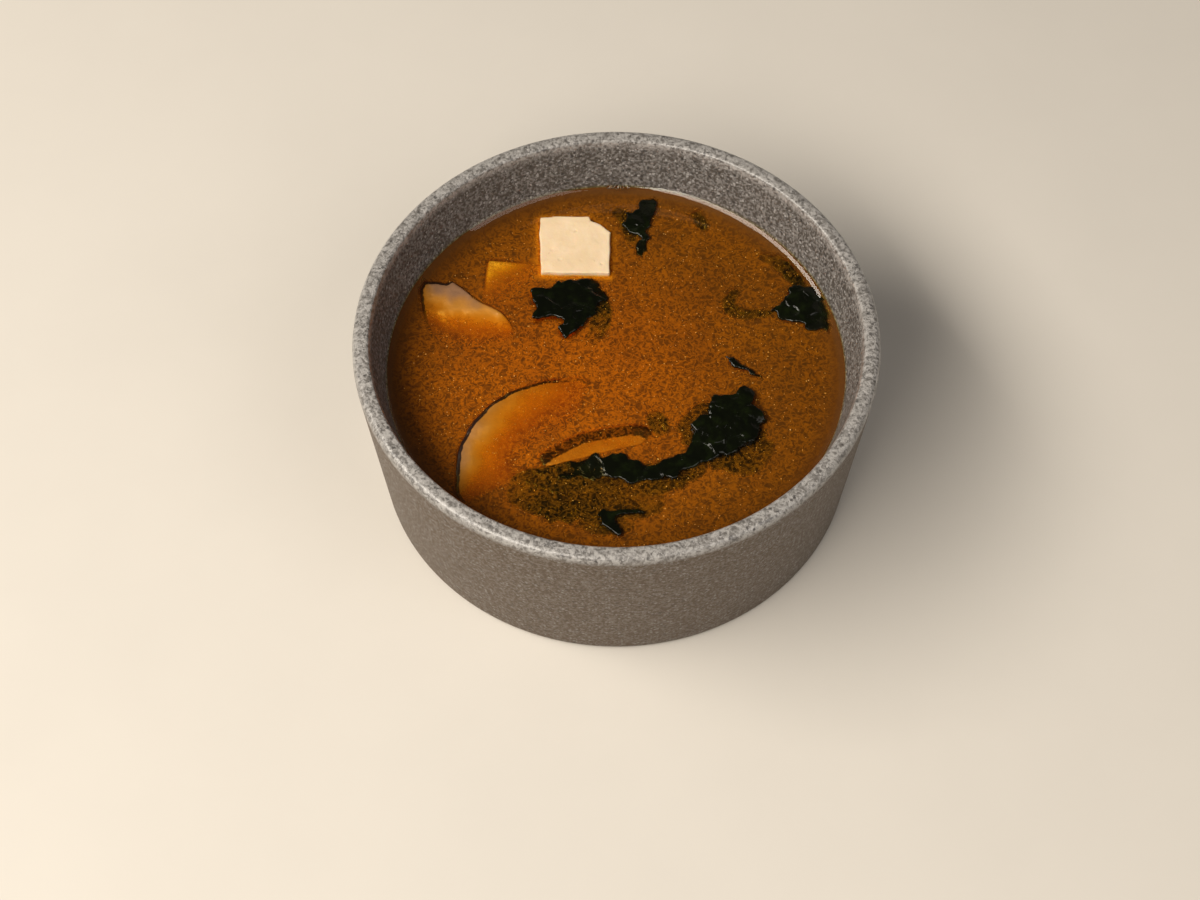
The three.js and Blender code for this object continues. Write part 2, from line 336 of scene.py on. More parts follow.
def drop_crumbs(obj):
    """Deletes the specks that a remesh leaves beside a thin edge."""
    places = [vertex.co.copy() for vertex in obj.data.vertices]
    middle = sum(places, Vector()) / len(places)
    kept = min(range(len(places)), key=lambda i: (places[i] - middle).length)
    choose(obj)
    bpy.ops.object.mode_set(mode="EDIT")
    bpy.ops.mesh.select_mode(type="VERT")
    bpy.ops.mesh.select_all(action="DESELECT")
    bpy.ops.object.mode_set(mode="OBJECT")
    obj.data.vertices[kept].select = True
    bpy.ops.object.mode_set(mode="EDIT")
    bpy.ops.mesh.select_linked()
    bpy.ops.mesh.select_all(action="INVERT")
    bpy.ops.mesh.delete(type="VERT")
    bpy.ops.object.mode_set(mode="OBJECT")


def roughen(obj, size, strength, seed=0.0):
    """Moves the surface in and out by soft noise of that size."""
    normals = [vertex.normal.copy() for vertex in obj.data.vertices]
    for vertex, normal in zip(obj.data.vertices, normals):
        at = vertex.co / size + Vector((seed, 2 * seed, -seed))
        vertex.co += normal * noise.noise(at) * strength
    obj.data.update()


def ruffle(obj, size, strength, seed=0.0):
    """Shifts the mesh sideways by soft noise of that size, which makes its outline ragged."""
    for vertex in obj.data.vertices:
        at = Vector((vertex.co.x, vertex.co.y, 0)) / size + Vector((seed, -seed, 2 * seed))
        shift = Vector((noise.noise(at), noise.noise(at + Vector((9.3, 1.5, 7.9))), 0))
        vertex.co += shift * strength
    obj.data.update()


def smooth_step(low, high, value):
    """0 up to `low`, 1 from `high`, and smooth between them."""
    t = min(max((value - low) / (high - low), 0.0), 1.0)
    return t * t * (3 - 2 * t)


def paint(obj, name, value_at):
    """Stores value_at(vertex) in a point attribute."""
    layer = obj.data.attributes.new(name, "FLOAT", "POINT")
    layer.data.foreach_set("value", [value_at(v) for v in obj.data.vertices])


# ---------------------------------------------------------------- materials


class Shader:
    """A material with a Principled shader, and short ways to add nodes to it."""

    def __init__(self, name, **values):
        self.material = bpy.data.materials.new(name)
        self.material.use_nodes = True
        self.tree = self.material.node_tree
        self.main = self.tree.nodes["Principled BSDF"]
        self.output = self.tree.nodes["Material Output"]
        for key, value in values.items():
            self.main.inputs[key.replace("_", " ")].default_value = value
        self.place = self.node("TexCoord").outputs["Object"]

    def node(self, kind, **values):
        return add_node(self.tree, "ShaderNode" + kind, **values)

    def group(self, group, **values):
        """Places a node group, with its named inputs."""
        node = self.node("Group")
        node.node_tree = group
        for key, value in values.items():
            connect(self.tree, value, node.inputs[key.replace("_", " ")])
        return node

    def feed(self, **sockets):
        """Links outputs to the Principled shader's named inputs."""
        for key, socket in sockets.items():
            connect(self.tree, socket, self.main.inputs[key.replace("_", " ")])

    def maths(self, operation, *values, clamp=False):
        """The result of a Math node."""
        return maths(self.tree, operation, *values, clamp=clamp)

    def noise(self, size, low=0.3, high=0.7, warp=0.0, vector=None):
        """Soft noise of that size, from 0 to 1."""
        where = self.place if vector is None else vector
        node = self.group(mottle_group(), Vector=where, Size=size, Low=low, High=high, Warp=warp)
        return node.outputs[0]

    def painted(self, name):
        """What the mesh's point attribute of that name holds."""
        return self.node("Attribute", attribute_name=name).outputs["Fac"]

    def blend(self, factor, low, high):
        """The colour `low` where the factor is 0, and `high` where it is 1."""
        return blend_colours(self.tree, factor, low, high)

    def tint(self, colour, by):
        """One colour multiplied by another."""
        return blend_colours(self.tree, 1.0, colour, by, "MULTIPLY")

    def flat_and_height(self):
        """The place without its height, and the height."""
        part = self.node("SeparateXYZ", Vector=self.place).outputs
        return self.node("CombineXYZ", X=part["X"], Y=part["Y"]).outputs[0], part["Z"]

    def length(self, vector):
        node = self.node("VectorMath", operation="LENGTH")
        connect(self.tree, vector, node.inputs[0])
        return node.outputs["Value"]

    def spread(self, value, low, high):
        """Runs smoothly from 0 to 1 as the value goes from `low` to `high`."""
        node = self.node("MapRange", interpolation_type="SMOOTHSTEP", Value=value)
        node.inputs["From Min"].default_value = low
        node.inputs["From Max"].default_value = high
        return node.outputs[0]

    def remap(self, value, start, end):
        """Runs evenly from `start` to `end` as the value goes from 0 to 1."""
        node = self.node("MapRange", Value=value)
        node.inputs["To Min"].default_value = start
        node.inputs["To Max"].default_value = end
        return node.outputs[0]

    def bump(self, height, distance, strength):
        node = self.node("Bump")
        node.inputs["Distance"].default_value = distance
        node.inputs["Strength"].default_value = strength
        connect(self.tree, height, node.inputs["Height"])
        return node.outputs["Normal"]


def add_node(tree, kind, **values):
    """Adds a node, and sets its properties and inputs by name."""
    node = tree.nodes.new(kind)
    for key, value in values.items():
        if hasattr(node, key):
            setattr(node, key, value)
        else:
            connect(tree, value, node.inputs[key.replace("_", " ")])
    return node


def connect(tree, value, socket):
    """Links an output to a socket, or sets the socket to a plain value."""
    if isinstance(value, bpy.types.NodeSocket):
        tree.links.new(value, socket)
        return
    if socket.type == "RGBA" and len(value) == 3:
        value = (*value, 1)
    socket.default_value = value


def blend_colours(tree, factor, low, high, mode="MIX"):
    """Two colours mixed by a colour Mix node."""
    first, second, result = 6, 7, 2  # its colour sockets
    node = tree.nodes.new("ShaderNodeMix")
    node.data_type = "RGBA"
    node.blend_type = mode
    connect(tree, factor, node.inputs["Factor"])
    connect(tree, low, node.inputs[first])
    connect(tree, high, node.inputs[second])
    return node.outputs[result]


def maths(tree, operation, *values, clamp=False):
    """The result of a Math node on those values."""
    node = tree.nodes.new("ShaderNodeMath")
    node.operation = operation
    node.use_clamp = clamp
    for value, socket in zip(values, node.inputs):
        connect(tree, value, socket)
    return node.outputs[0]


def new_group(name, inputs, outputs):
    """A node group with named sockets: returns it, its inputs and its output node."""
    group = bpy.data.node_groups.new(name, "ShaderNodeTree")
    for title, (kind, default) in inputs.items():
        socket = group.interface.new_socket(title, in_out="INPUT", socket_type="NodeSocket" + kind)
        if default is not None:
            socket.default_value = default
    for title, kind in outputs.items():
        group.interface.new_socket(title, in_out="OUTPUT", socket_type="NodeSocket" + kind)
    return group, group.nodes.new("NodeGroupInput").outputs, group.nodes.new("NodeGroupOutput")


def mottle_group():
    """Soft noise of a given size, spread between two limits to run from 0 to 1."""
    if "Mottle" in bpy.data.node_groups:
        return bpy.data.node_groups["Mottle"]
    group, given, out = new_group(
        "Mottle",
        {
            "Vector": ("Vector", None),
            "Size": ("Float", 0.01),
            "Low": ("Float", 0.35),
            "High": ("Float", 0.65),
            "Warp": ("Float", 0.0),
        },
        {"Value": "Float"},
    )
    scale = maths(group, "DIVIDE", 1.0, given["Size"])
    cloud = add_node(
        group, "ShaderNodeTexNoise", Vector=given["Vector"], Scale=scale, Detail=4.0,
        Roughness=0.6, Distortion=given["Warp"],
    )
    spread = add_node(
        group, "ShaderNodeMapRange", interpolation_type="SMOOTHSTEP", Value=cloud.outputs[0],
    )
    connect(group, given["Low"], spread.inputs["From Min"])
    connect(group, given["High"], spread.inputs["From Max"])
    connect(group, spread.outputs[0], out.inputs["Value"])
    return group


def grain_group():
    """Separate grains: a mask that is 1 inside some of the cells of a given size."""
    if "Grains" in bpy.data.node_groups:
        return bpy.data.node_groups["Grains"]
    group, given, out = new_group(
        "Grains",
        {
            "Vector": ("Vector", None),
            "Size": ("Float", 0.001),
            "Share": ("Float", 0.3),
            "Radius": ("Float", 0.4),
        },
        {"Mask": "Float", "Shade": "Float"},
    )
    scale = maths(group, "DIVIDE", 1.0, given["Size"])
    cloud = add_node(
        group, "ShaderNodeTexNoise", Vector=given["Vector"],
        Scale=maths(group, "MULTIPLY", scale, 1.6),
    )
    shift = group.nodes.new("ShaderNodeVectorMath")
    shift.operation = "SCALE"
    connect(group, cloud.outputs["Color"], shift.inputs[0])
    connect(group, given["Size"], shift.inputs["Scale"])
    moved = group.nodes.new("ShaderNodeVectorMath")
    connect(group, given["Vector"], moved.inputs[0])
    connect(group, shift.outputs[0], moved.inputs[1])
    cells = add_node(group, "ShaderNodeTexVoronoi", Vector=moved.outputs[0], Scale=scale)
    parts = add_node(group, "ShaderNodeSeparateColor", Color=cells.outputs["Color"])
    chosen = maths(group, "LESS_THAN", parts.outputs[0], given["Share"])
    reach = maths(group, "MULTIPLY", parts.outputs[1], given["Radius"])
    reach = maths(group, "ADD", reach, maths(group, "MULTIPLY", given["Radius"], 0.5))
    edge = maths(group, "SUBTRACT", 1.0, maths(group, "DIVIDE", cells.outputs["Distance"], reach))
    inside = maths(group, "MULTIPLY", edge, 3.0, clamp=True)
    connect(group, maths(group, "MULTIPLY", inside, chosen), out.inputs["Mask"])
    connect(group, parts.outputs[2], out.inputs["Shade"])
    return group


def stoneware(settings):
    """Matt speckled stoneware: bare and coarse at the lip, smoother outside, and warmer there by
    painted bounce light from below.
    """
    s = Shader("Stoneware", Roughness=0.5, IOR=1.5)
    s.main.inputs["Coat Roughness"].default_value = 0.32
    flat, height = s.flat_and_height()
    lip = s.spread(height, BOWL_HEIGHT - 3.0 * MM, BOWL_HEIGHT - 0.8 * MM)
    slant = s.maths("MULTIPLY", height, (RIM_RADIUS - settings.base_radius) / BOWL_HEIGHT)
    outward = s.maths("SUBTRACT", s.length(flat), slant)
    outside = s.spread(outward, settings.base_radius - 2.4 * MM, settings.base_radius - 0.6 * MM)
    # Outside the bowl: here the grain is calmer, and painted bounce light warms the colour.
    outside_smooth_and_bounce_lit = s.maths("MULTIPLY", outside, s.maths("SUBTRACT", 1.0, lip))
    strong = s.remap(outside_smooth_and_bounce_lit, 1.0, 0.55)

    clay = Vector(settings.clay)
    colour = s.blend(s.noise(12 * MM), clay * 0.88, clay * 1.12)
    # Painted bounce light: the outside is tinted warmer, standing in for warm light thrown up onto
    # it from below.
    colour = s.blend(outside_smooth_and_bounce_lit, colour, clay * Vector((1.22, 0.92, 0.62)))
    worn = s.noise(1.3 * MM, 0.4, 0.6, warp=0.8)
    worn = s.maths("ADD", s.maths("MULTIPLY", worn, 0.7), 0.15)
    colour = s.blend(s.maths("MULTIPLY", lip, worn), colour, settings.light_grain)
    dust = s.noise(0.8 * MM, 0.42, 0.62)
    dusty = s.maths("MULTIPLY", dust, s.maths("MULTIPLY", strong, 0.4))
    colour = s.blend(dusty, colour, settings.light_grain)
    dark = s.group(grain_group(), Vector=s.place, Size=0.8 * MM, Share=0.45, Radius=0.5)
    shade = s.maths("MULTIPLY", dark.outputs["Mask"], strong)
    colour = s.blend(s.maths("MULTIPLY", shade, 0.6), colour, settings.dark_grain)
    pale = s.group(grain_group(), Vector=s.place, Size=0.8 * MM, Share=0.3, Radius=0.42)
    shine = s.maths("MULTIPLY", pale.outputs["Mask"], strong)
    colour = s.blend(s.maths("MULTIPLY", shine, 0.7), colour, settings.light_grain)
    relief = s.maths("SUBTRACT", dust, dark.outputs["Mask"])
    relief = s.maths("MULTIPLY", relief, strong)
    s.feed(
        Base_Color=colour,
        Roughness=s.remap(lip, 0.55, 0.4),
        Coat_Weight=s.maths("MULTIPLY", lip, 0.9),
        Normal=s.bump(relief, 0.12 * MM, 0.7),
    )
    return s.material


def clear_soup(settings):
    """Clear amber soup. Lamp rays pass straight through its surface."""
    s = Shader("Clear Soup", Roughness=0.03, IOR=1.4, Transmission_Weight=1.0)
    s.main.inputs["Base Color"].default_value = (1, 1, 1, 1)
    path = s.node("LightPath")
    let_by = s.maths("MAXIMUM", path.outputs["Is Shadow Ray"], path.outputs["Is Diffuse Ray"])
    through = s.node("BsdfTransparent")
    mix = s.node("MixShader")
    connect(s.tree, let_by, mix.inputs[0])
    connect(s.tree, s.main.outputs[0], mix.inputs[1])
    connect(s.tree, through.outputs[0], mix.inputs[2])
    connect(s.tree, mix.outputs[0], s.output.inputs["Surface"])
    volume = s.node("VolumeAbsorption")
    volume.inputs["Color"].default_value = (*settings.amber, 1)
    volume.inputs["Density"].default_value = settings.strength
    connect(s.tree, volume.outputs[0], s.output.inputs["Volume"])
    return s.material


def thread_group():
    """Short curled threads of a given size: 1 along their middles and 0 between them."""
    if "Threads" in bpy.data.node_groups:
        return bpy.data.node_groups["Threads"]
    group, given, out = new_group(
        "Threads",
        {"Vector": ("Vector", None), "Size": ("Float", 0.001), "Warp": ("Float", 1.0)},
        {"Value": "Float"},
    )
    scale = maths(group, "DIVIDE", 1.0, given["Size"])
    cloud = add_node(
        group, "ShaderNodeTexNoise", Vector=given["Vector"], Scale=scale, Detail=1.5,
        Roughness=0.5, Distortion=given["Warp"],
    )
    away = maths(group, "ABSOLUTE", maths(group, "SUBTRACT", cloud.outputs[0], 0.5))
    ridge = maths(group, "SUBTRACT", 1.0, maths(group, "MULTIPLY", away, 9.0), clamp=True)
    connect(group, ridge, out.inputs["Value"])
    return group


def miso_colour(s, settings):
    """Fine threads of miso, with larger drifts of lighter and darker ones. Painted shade darkens
    them away from a bright spot and, next to the bowl's wall, turns them darker and smoother:
    their colour, and how bright the thread is."""
    flat, _ = s.flat_and_height()
    from_spot = s.node("VectorMath", operation="SUBTRACT")
    connect(s.tree, flat, from_spot.inputs[0])
    connect(s.tree, settings.bright_spot, from_spot.inputs[1])
    thread = s.group(thread_group(), Vector=flat, Size=1.6 * MM, Warp=1.1).outputs[0]
    fine = s.noise(1.1 * MM, 0.38, 0.66, 0.8, vector=flat)
    thread = s.maths("MULTIPLY", thread, 0.7)
    thread = s.maths("ADD", thread, s.maths("MULTIPLY", fine, 0.32), clamp=True)
    colour = s.blend(thread, settings.dark_miso, settings.bright_miso)
    colour = s.tint(colour, s.blend(s.noise(16 * MM), (0.86, 0.8, 0.7), (1.12, 1.14, 1.0)))
    # Painted shade: the colour darkens away from the bright spot towards the edge, standing in for
    # shade from the wall and rim.
    outer = s.spread(s.length(from_spot.outputs[0]), 8 * MM, 60 * MM)
    colour = s.blend(outer, colour, s.tint(colour, (0.54, 0.64, 0.6)))
    # Painted shade: next to the wall the threads give way to a smooth dark colour, standing in for
    # the shade the wall casts.
    wall = s.spread(s.length(flat), 50 * MM, 58 * MM)
    painted_wall_shade = Vector(settings.dark_miso) * Vector((0.75, 0.8, 1))
    return s.blend(wall, colour, painted_wall_shade), thread


def miso_haze(settings):
    """Miso threads that let the pieces under them show where `open` is high, and look olive
    where `green` is high, over seaweed. The haze has a top and an underside, so each lets
    through the square root of what is seen."""
    s = Shader("Miso Haze", Roughness=0.8)
    colour, thread = miso_colour(s, settings)
    green = s.painted("green")
    olive = Vector(settings.olive)
    over_leaf = s.blend(thread, olive * 0.08, olive)
    colour = s.blend(s.maths("MULTIPLY", green, 0.9, clamp=True), colour, over_leaf)
    lit = s.blend(thread, settings.bright_miso, (0.6, 0.3, 0.03))
    colour = s.blend(s.painted("glow"), colour, lit)
    seen = s.maths("MULTIPLY", s.painted("open"), s.remap(thread, 1.45, 0.5))
    hidden = s.maths("MULTIPLY", green, 0.25)
    seen = s.maths("MULTIPLY", seen, s.maths("SUBTRACT", 1.0, hidden), clamp=True)
    seen = s.maths("SQRT", seen)
    s.feed(Base_Color=colour, Alpha=s.maths("SUBTRACT", 1.0, seen, clamp=True))
    return s.material


def settled_miso(settings):
    """The same threads, brighter, because they are seen through the soup above them."""
    s = Shader("Settled Miso", Roughness=0.8)
    colour, _ = miso_colour(s, settings)
    s.feed(Base_Color=s.tint(colour, (1.3, 2.8, 1.0)))
    return s.material


def bean_curd(settings):
    """Moist tofu with fine pores."""
    s = Shader("Bean Curd", Roughness=0.42, IOR=1.4)
    s.main.inputs["Subsurface Weight"].default_value = 0.35
    s.main.inputs["Subsurface Radius"].default_value = (0.004, 0.0025, 0.0012)
    s.main.inputs["Subsurface Scale"].default_value = 0.5
    curd = Vector(settings.curd)
    colour = s.blend(s.noise(6 * MM), curd * Vector((0.96, 0.93, 0.86)), curd * 1.04)
    pores = s.group(grain_group(), Vector=s.place, Size=1.7 * MM, Share=0.16, Radius=0.2)
    # Painted shade: the pores are darkened, standing in for shade inside the small pits.
    pore_shade = s.maths("MULTIPLY", pores.outputs["Mask"], 0.22)
    colour = s.blend(pore_shade, colour, curd * Vector((0.6, 0.45, 0.28)))
    fine = s.maths("MULTIPLY", s.noise(1.2 * MM), 0.4)
    relief = s.maths("SUBTRACT", fine, pores.outputs["Mask"])
    s.feed(Base_Color=colour, Normal=s.bump(relief, 0.08 * MM, 0.5))
    return s.material


def mushroom(settings):
    """Smooth wet mushroom flesh, darker just inside the skin, and dark skin."""
    s = Shader("Mushroom", Roughness=0.4, IOR=1.4)
    s.main.inputs["Coat Weight"].default_value = 0.3
    s.main.inputs["Coat Roughness"].default_value = 0.2
    patches, fibres = s.noise(5 * MM), s.noise(0.9 * MM)
    flesh, rind = Vector(settings.flesh), Vector(settings.rind)
    colour = s.blend(patches, flesh * 0.93, flesh * 1.05)
    dark = s.blend(patches, rind * 0.85, rind * 1.15)
    colour = s.blend(s.painted("rind"), colour, dark)
    colour = s.blend(s.maths("MULTIPLY", fibres, 0.12), colour, rind * 0.6)
    ragged = s.maths("ADD", s.painted("skin"), s.maths("MULTIPLY", fibres, 0.3))
    colour = s.blend(s.spread(ragged, 0.45, 0.8), colour, settings.skin)
    s.feed(Base_Color=colour, Normal=s.bump(fibres, 0.05 * MM, 0.4))
    return s.material


def seaweed(settings):
    """Wet wakame: nearly black green, and glossy."""
    s = Shader("Seaweed", Roughness=0.2, IOR=1.38)
    patches, fine = s.noise(3 * MM, 0.45, 0.75), s.noise(0.7 * MM)
    leaf = Vector(settings.leaf)
    colour = s.blend(patches, leaf * 0.7, leaf * Vector((1.8, 2.2, 1.3)))
    colour = s.blend(s.maths("MULTIPLY", fine, 0.4), colour, leaf * 0.4)
    rough = s.remap(fine, 0.06, 0.2)
    s.feed(Base_Color=colour, Roughness=rough, Normal=s.bump(fine, 0.06 * MM, 0.4))
    return s.material


def bubble_film():
    """Clear bubbles, whose colour is slightly uneven."""
    s = Shader("Bubble Film", Roughness=0.05, IOR=1.25, Transmission_Weight=1.0)
    s.feed(Base_Color=s.blend(s.noise(1 * MM), (0.8, 0.75, 0.68), (0.95, 0.93, 0.9)))
    return s.material


def fleck_material():
    """Pale flecks of miso, some of them browner."""
    s = Shader("Miso Flecks", Roughness=0.5)
    s.feed(Base_Color=s.blend(s.noise(4 * MM), (0.55, 0.25, 0.06), (0.9, 0.6, 0.28)))
    return s.material


def floor_material(settings):
    """A pale matt floor with hardly any tone."""
    s = Shader("Floor", Roughness=0.75)
    floor = Vector(settings.floor)
    s.feed(Base_Color=s.blend(s.noise(50 * MM, 0.2, 0.8), floor * 0.985, floor * 1.015))
    return s.material


# ---------------------------------------------------------------- pieces


def inner_radius(height, bowl):
    """The bowl's inner radius at that height, above its rounded floor corner."""
    return RIM_RADIUS - bowl.lip_width - bowl.inner_draft * (BOWL_HEIGHT - height)


def inside_profile(top, bowl, out=0.0):
    """The bowl's inside from its floor up to `top`, moved into the wall by `out`."""
    low = FLOOR_TOP - out
    turn = low + bowl.floor_round
    start = (inner_radius(low, bowl) + out - bowl.floor_round, low)
    corner = (inner_radius(low, bowl) + out, low)
    end = (inner_radius(turn, bowl) + out, turn)
    return [*bend(start, corner, end, 8), (inner_radius(top, bowl) + out, top)]


class MISO_OT_bowl(bpy.types.Operator):
    """Makes the stoneware bowl"""

    bl_idname = "miso.bowl"
    bl_label = "Bowl"

    def execute(self, context):
        b = context.scene.miso_bowl
        foot = b.base_radius - b.base_round
        lip = RIM_RADIUS - b.lip_width
        outer_edge = BOWL_HEIGHT - b.outer_round
        inside = inside_profile(BOWL_HEIGHT - b.inner_round, b)
        outside = [
            (foot - b.foot_width, b.foot_height),
            *bend(
                (foot - b.foot_width + 0.4 * b.foot_height, 0.5 * b.foot_height),
                (foot - b.foot_width + 0.7 * b.foot_height, 0),
                (foot - b.foot_width + b.foot_height, 0),
                3,
            ),
            *bend((foot, 0), (b.base_radius, 0), (b.base_radius + 0.1 * MM, b.base_round)),
            *bend(
                (RIM_RADIUS, outer_edge),
                (RIM_RADIUS, BOWL_HEIGHT),
                (RIM_RADIUS - b.outer_round, BOWL_HEIGHT),
                10,
            ),
            *bend((lip + b.inner_round, BOWL_HEIGHT), (lip, BOWL_HEIGHT), inside[-1]),
        ]
        bowl = turned([*outside, *inside[-2::-1]])
        settle(bowl, "bowl_ware", stoneware(b), "stoneware", "bowl")
        return {"FINISHED"}


class MISO_OT_soup(bpy.types.Operator):
    """Makes the clear soup, the miso haze in it and the settled miso under that"""

    bl_idname = "miso.soup"
    bl_label = "Soup"

    def execute(self, context):
        b, s = context.scene.miso_bowl, context.scene.miso_soup
        self.clear(b, s)
        slab = self.haze(b, s)
        self.paint_glow(slab, s)
        self.paint_sight(slab, s)
        settle(slab, "miso_haze", miso_haze(s), "broth")
        slab.visible_shadow = False
        self.settled(b, s)
        return {"FINISHED"}

    def clear(self, b, s):
        """The clear soup, whose edge climbs the wall a little."""
        top = SOUP_LEVEL + s.meniscus
        wall = inner_radius(top, b) + INTO_WALL
        profile = inside_profile(top, b, INTO_WALL)
        steps, rings = 14, 8
        for i in range(1, steps):
            away = s.meniscus_reach * 4 * (i / steps) ** 2
            climb = s.meniscus * math.exp(-away / s.meniscus_reach)
            profile.append((wall - away, SOUP_LEVEL + climb))
        for i in range(rings, 0, -1):
            profile.append((profile[-1][0] * i / (i + 1), SOUP_LEVEL))
        settle(turned(profile, 384), "broth", clear_soup(s), "broth", "soup")

    def haze(self, b, s):
        """A closed slab across the inside of the bowl, with an even mesh."""
        top = SOUP_LEVEL - s.haze_depth
        bottom = top - s.haze_thick
        low = inner_radius(bottom, b) + INTO_WALL
        high = inner_radius(top + s.meniscus, b) + INTO_WALL
        rings = 26
        profile = [(low * i / rings, bottom) for i in range(1, rings + 1)]
        for i in range(rings, 0, -1):
            away = high * (1 - i / rings)
            climb = 0.9 * s.meniscus * math.exp(-away / s.meniscus_reach)
            profile.append((high - away, top + climb))
        slab = turned(profile, 96)
        apply(slab, "SUBSURF", subdivision_type="SIMPLE", levels=2, render_levels=2)
        return slab

    def paint_sight(self, slab, s):
        """Stores in `open` how well what lies straight below is seen, and in `green` how much
        of it is seaweed, each on average over a small spot."""
        points, faces, leafy = [], [], []
        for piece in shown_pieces():
            if not piece.get("in_soup"):
                continue
            faces += [[i + len(points) for i in p.vertices] for p in piece.data.polygons]
            points += [v.co for v in piece.data.vertices]
            leafy += [piece.name.startswith(("wakame", "leaf"))] * len(piece.data.polygons)
        pieces = BVHTree.FromPolygons(points, faces)
        spots = [Vector((0, 0, 0))]
        for i in range(6):
            turn = i * math.pi / 3
            spots.append(Vector((math.cos(turn), math.sin(turn), 0)) * s.blur)

        def below(vertex):
            seen = green = 0.0
            for spot in spots:
                start = vertex.co + spot
                start.z = BOWL_HEIGHT
                hit, _, face, _ = pieces.ray_cast(start, Vector((0, 0, -1)))
                if hit is not None:
                    depth = max(SOUP_LEVEL - hit.z, 0)
                    share = math.exp(-((depth / s.sight) ** 2)) / len(spots)
                    seen += share
                    green += share * leafy[face]
            return seen, green

        found = [below(vertex) for vertex in slab.data.vertices]
        paint(slab, "open", lambda v: found[v.index][0])
        paint(slab, "green", lambda v: found[v.index][1])

    def paint_glow(self, slab, s):
        """Stores in `glow` how much light the white tofu throws on the miso near it."""
        mesh = bpy.data.objects["tofu_block"].data
        tofu = BVHTree.FromPolygons(
            [v.co for v in mesh.vertices], [p.vertices for p in mesh.polygons]
        )

        def beside(vertex):
            near = tofu.find_nearest(vertex.co, 4 * s.glow_reach)[3]
            return 0.0 if near is None else math.exp(-((near / s.glow_reach) ** 2))

        paint(slab, "glow", beside)

    def settled(self, b, s):
        """The settled miso, from the depth where nothing is seen down to the floor."""
        top = SOUP_LEVEL - s.settled_depth
        profile = inside_profile(top, b, 0.5 * INTO_WALL)
        wall = profile[-1][0]
        rings = 12
        profile += [(wall * i / rings, top) for i in range(rings - 1, 0, -1)]
        settle(turned(profile, 96), "miso_settled", settled_miso(s), "broth")


class MISO_OT_tofu(bpy.types.Operator):
    """Makes the floating tofu and the one sunk beside it"""

    bl_idname = "miso.tofu"
    bl_label = "Tofu"

    def execute(self, context):
        look = bean_curd(context.scene.miso_pieces)
        block = from_cad("tofu", 0.3 * MM)
        apply(block, "SMOOTH", factor=0.5, iterations=3)
        self.weather(block, 3.1)
        for x, y, reach in PORES:
            press(block, x * MM, y * MM, reach * MM, LARGE_PORE_DEPTH)
        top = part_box("tofu")[1].z
        for vertex in block.data.vertices:
            vertex.co.z = min(vertex.co.z, top)
        settle(block, "tofu_block", look, "tofu", "tofu", in_soup=True)

        place, size, tilt = SUNK_TOFU
        place = Vector((0, 0, SOUP_LEVEL)) + Vector(place) * MM
        deselect()
        bpy.ops.mesh.primitive_cube_add(size=1, location=place, scale=Vector(size) * MM)
        sunk = bpy.context.object
        sunk.rotation_euler = [math.radians(angle) for angle in tilt]
        bpy.ops.object.transform_apply(location=True, rotation=True, scale=True)
        apply(sunk, "BEVEL", width=0.7 * MM, segments=3)
        apply(sunk, "REMESH", mode="VOXEL", voxel_size=0.4 * MM, use_smooth_shade=True)
        self.weather(sunk, 4.1)
        settle(sunk, "tofu_sunk", look, "tofu", in_soup=True)
        return {"FINISHED"}

    def weather(self, obj, seed):
        """Makes the cut faces uneven."""
        roughen(obj, 5 * MM, 0.3 * MM, seed)
        roughen(obj, 1.1 * MM, 0.04 * MM, 2 * seed)


def press(obj, x, y, reach, depth):
    """Presses a small pit into the top of a piece."""
    facing_up = [vertex.normal.z > 0.5 for vertex in obj.data.vertices]
    for vertex, up in zip(obj.data.vertices, facing_up):
        away = math.hypot(vertex.co.x - x, vertex.co.y - y) / reach
        if up and away < 2:
            vertex.co.z -= depth * math.exp(-away * away)


class MISO_OT_mushrooms(bpy.types.Operator):
    """Makes the mushroom slices"""

    bl_idname = "miso.mushrooms"
    bl_label = "Mushrooms"

    def execute(self, context):
        look = mushroom(context.scene.miso_pieces)
        for node, (inner, skin, rind, seed) in SLICES.items():
            obj = from_cad(node, 0.35 * MM)
            apply(obj, "SMOOTH", factor=0.5, iterations=8)
            roughen(obj, 5 * MM, 0.3 * MM, seed)
            roughen(obj, 1.4 * MM, 0.08 * MM, 2 * seed)
            for x, y, reach, depth in SUNK_ENDS.get(node, ()):
                sink(obj, x * MM, y * MM, reach * MM, depth * MM)
            paint_skin(obj, Vector((*inner, 0)) * MM, skin * MM, rind * MM)
            settle(obj, node + "_slice", look, "mushroom", node, in_soup=True)
        return {"FINISHED"}


def sink(obj, x, y, reach, depth):
    """Lowers a piece softly round a place."""
    for vertex in obj.data.vertices:
        away = math.hypot(vertex.co.x - x, vertex.co.y - y) / reach
        vertex.co.z -= depth * math.exp(-away * away)
    obj.data.update()


def paint_skin(obj, inner, band, reach):
    """Marks the skin, which is the side that faces away from the place `inner` and a band
    along it, and the rind, which lies within `reach` of it or out of the soup."""
    upright, facing, rind_strength = 0.6, 0.35, 0.42
    rim = []
    for vertex in obj.data.vertices:
        outward = vertex.co - inner
        outward.z = 0
        outside = vertex.normal.dot(outward.normalized()) > facing
        if outside and abs(vertex.normal.z) < upright:
            rim.append(vertex.co)
    tree = KDTree(len(rim))
    for i, place in enumerate(rim):
        tree.insert(place, i)
    tree.balance()
    away = [tree.find(v.co)[2] for v in obj.data.vertices]
    paint(obj, "skin", lambda v: 1 - smooth_step(0.5 * band, band, away[v.index]))

    def rind(vertex):
        dry = smooth_step(SOUP_LEVEL - 0.05 * MM, SOUP_LEVEL + 0.4 * MM, vertex.co.z)
        near = 1 - smooth_step(0.35 * reach, reach, away[vertex.index])
        return max(dry, rind_strength * near)

    paint(obj, "rind", rind)


